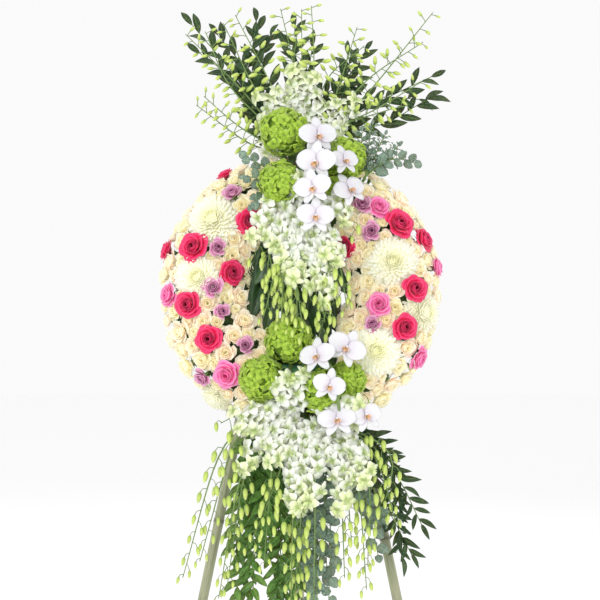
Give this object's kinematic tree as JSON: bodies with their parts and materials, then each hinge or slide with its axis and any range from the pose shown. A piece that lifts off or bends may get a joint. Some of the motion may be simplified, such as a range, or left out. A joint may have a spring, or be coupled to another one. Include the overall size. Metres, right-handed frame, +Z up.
{
  "type": "standing funeral wreath",
  "caption": "Round wreath of roses, chrysanthemums, hydrangeas and orchids with sprays above and below, leaning on a bamboo tripod easel.",
  "frame": {"origin": "centre of the whole object's box, on the floor", "axes": "+X to the right as seen from the front, +Y to the back, where the rear leg stands, +Z up; the wreath faces -Y"},
  "size_m": [0.7294, 0.823, 1.8914],
  "materials": {
    "twine": "natural jute twine",
    "bamboo": "dried bamboo, satin skin",
    "steel": "zinc-plated",
    "tray": "green moulded plastic",
    "foam": "matte green floral foam",
    "red_petals": "natural petal, velvety",
    "pink_petals": "natural petal, velvety",
    "chrysanthemum_petals": "natural petal",
    "cream_petals": "natural petal",
    "hydrangea_sepals": "natural petal",
    "moth_orchid_petals": "natural petal, waxy",
    "dendrobium_petals": "natural petal, waxy",
    "eucalyptus": "natural leaf, waxy bloom",
    "ruscus": "natural leaf, glossy",
    "dark_leaves": "natural leaf, glossy"
  },
  "bodies": {
    "root": {"bottom_base_leaves": "dark_leaves", "bottom_dendrobium": "dendrobium_petals", "bottom_eucalyptus": "eucalyptus", "bottom_foam_block": "foam", "bottom_olive": "dark_leaves", "bottom_ruscus": "ruscus", "centre_leaves": "dark_leaves", "chrysanthemum_left": "chrysanthemum_petals", "chrysanthemum_lower_left": "chrysanthemum_petals", "chrysanthemum_lower_right": "chrysanthemum_petals", "chrysanthemum_outer_right": "chrysanthemum_petals", "chrysanthemum_right": "chrysanthemum_petals", "chrysanthemum_upper_left": "chrysanthemum_petals", "easel_apex_lashing": "twine", "easel_ledge": "bamboo", "easel_left_leg": "bamboo", "easel_rear_leg": "bamboo", "easel_right_leg": "bamboo", "foam_ring": "foam", "hydrangea_centre": "hydrangea_sepals", "hydrangea_lower_left": "hydrangea_sepals", "hydrangea_lower_right": "hydrangea_sepals", "hydrangea_right": "hydrangea_sepals", "hydrangea_top": "hydrangea_sepals", "hydrangea_upper": "hydrangea_sepals", "ledge_bolt_left": "steel", "ledge_bolt_right": "steel", "lower_moth_orchids": "moth_orchid_petals", "middle_dendrobium": "dendrobium_petals", "pink_rose_lower_left": "pink_petals", "pink_rose_lower_right": "pink_petals", "pink_rose_middle_right": "pink_petals", "pink_rose_outer_left": "pink_petals", "pink_rose_outer_right": "pink_petals", "pink_rose_upper_right": "pink_petals", "red_rose_inner_left": "red_petals", "red_rose_inner_right": "red_petals", "red_rose_left": "red_petals", "red_rose_lower_left": "red_petals", "red_rose_lower_right": "red_petals", "red_rose_middle_left": "red_petals", "red_rose_middle_right": "red_petals", "red_rose_outer_left": "red_petals", "red_rose_outer_right": "red_petals", "red_rose_top_left": "red_petals", "red_rose_upper_left": "red_petals", "red_rose_upper_right": "red_petals", "ring_tray": "tray", "seeded_eucalyptus": "eucalyptus", "small_roses_left_lower": "cream_petals", "small_roses_left_middle": "cream_petals", "small_roses_left_upper": "cream_petals", "small_roses_right_lower": "cream_petals", "small_roses_right_middle": "cream_petals", "small_roses_right_upper": "cream_petals", "top_base_leaves": "dark_leaves", "top_dendrobium": "dendrobium_petals", "top_foam_block": "foam", "top_leaves": "dark_leaves", "upper_moth_orchids": "moth_orchid_petals"}
  },
  "joints": []
}
